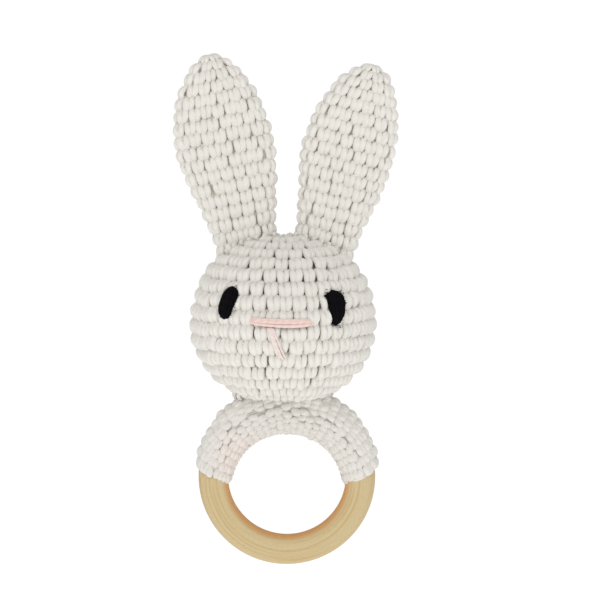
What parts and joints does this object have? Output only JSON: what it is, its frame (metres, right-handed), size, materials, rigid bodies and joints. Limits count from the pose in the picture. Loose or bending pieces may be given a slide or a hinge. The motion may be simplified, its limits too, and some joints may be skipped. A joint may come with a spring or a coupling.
{
  "type": "baby rattle",
  "caption": "Crocheted rabbit-head rattle with two long ears, sewn over a turned wooden teething ring that is held in the hand and shaken.",
  "frame": {"origin": "centre of the wooden ring, which is where a hand or a strap holds the rattle", "axes": "+Z from the ring towards the ears, along the rattle's length; the face looks towards -Y; the ring's axis is Y"},
  "size_m": [0.0722, 0.064, 0.1737],
  "materials": {
    "beech_wood": "turned and sanded, unvarnished, fine grain",
    "cream_crochet": "single crochet in soft cotton yarn",
    "cream_yarn": "soft twisted cotton yarn",
    "polyester_fibre": "loose fibre fill",
    "clear_plastic": "moulded, smooth",
    "black_yarn": "satin-stitched cotton thread",
    "pink_yarn": "long stitches in cotton thread",
    "steel_beads": "polished balls"
  },
  "bodies": {
    "sleeve": {"ring_sleeve": "cream_crochet", "sleeve_seam_yarn": "cream_yarn", "neck_seam_yarn": "cream_yarn"},
    "ring": {"wooden_ring": "beech_wood"},
    "head": {"head_cover": "cream_crochet", "head_stuffing": "polyester_fibre", "capsule_base": "clear_plastic", "capsule_lid": "clear_plastic", "left_eye": "black_yarn", "right_eye": "black_yarn", "nose_stitches": "pink_yarn", "mouth_stitches": "pink_yarn", "left_ear_seam_yarn": "cream_yarn", "right_ear_seam_yarn": "cream_yarn"},
    "left_ear": {"left_ear_cover": "cream_crochet", "left_ear_padding": "polyester_fibre"},
    "right_ear": {"right_ear_cover": "cream_crochet", "right_ear_padding": "polyester_fibre"},
    "bead_1": {"bead_1": "steel_beads"},
    "bead_2": {"bead_2": "steel_beads"},
    "bead_3": {"bead_3": "steel_beads"},
    "bead_4": {"bead_4": "steel_beads"},
    "bead_5": {"bead_5": "steel_beads"},
    "bead_6": {"bead_6": "steel_beads"}
  },
  "joints": [
    {"name": "ring_turn", "type": "hinge", "parent": "sleeve", "child": "ring", "pos_m": [0, 0, 0], "axis": [0, 1, 0], "continuous": true},
    {"name": "neck_nod", "type": "hinge", "parent": "sleeve", "child": "head", "pos_m": [0, 0, 0.025], "axis": [1, 0, 0], "range_deg": [-20, 20], "stiffness_Nm_per_rad": 0.25},
    {"name": "left_ear_fold", "type": "hinge", "parent": "head", "child": "left_ear", "pos_m": [-0.016, 0, 0.0856], "axis": [0.9877, 0, 0.1564], "range_deg": [-45, 65], "stiffness_Nm_per_rad": 0.03},
    {"name": "right_ear_fold", "type": "hinge", "parent": "head", "child": "right_ear", "pos_m": [0.0143, 0, 0.0852], "axis": [0.9781, 0, -0.2079], "range_deg": [-45, 65], "stiffness_Nm_per_rad": 0.03},
    {"name": "bead_1_bounce", "type": "slide", "parent": "head", "child": "bead_1", "axis": [0, 0, 1], "range_m": [0, 0.0125]},
    {"name": "bead_2_bounce", "type": "slide", "parent": "head", "child": "bead_2", "axis": [0, 0, 1], "range_m": [0, 0.0125]},
    {"name": "bead_3_bounce", "type": "slide", "parent": "head", "child": "bead_3", "axis": [0, 0, 1], "range_m": [0, 0.0125]},
    {"name": "bead_4_bounce", "type": "slide", "parent": "head", "child": "bead_4", "axis": [0, 0, 1], "range_m": [0, 0.0125]},
    {"name": "bead_5_bounce", "type": "slide", "parent": "head", "child": "bead_5", "axis": [0, 0, 1], "range_m": [0, 0.0125]},
    {"name": "bead_6_bounce", "type": "slide", "parent": "head", "child": "bead_6", "axis": [0, 0, 1], "range_m": [0, 0.0125]}
  ]
}
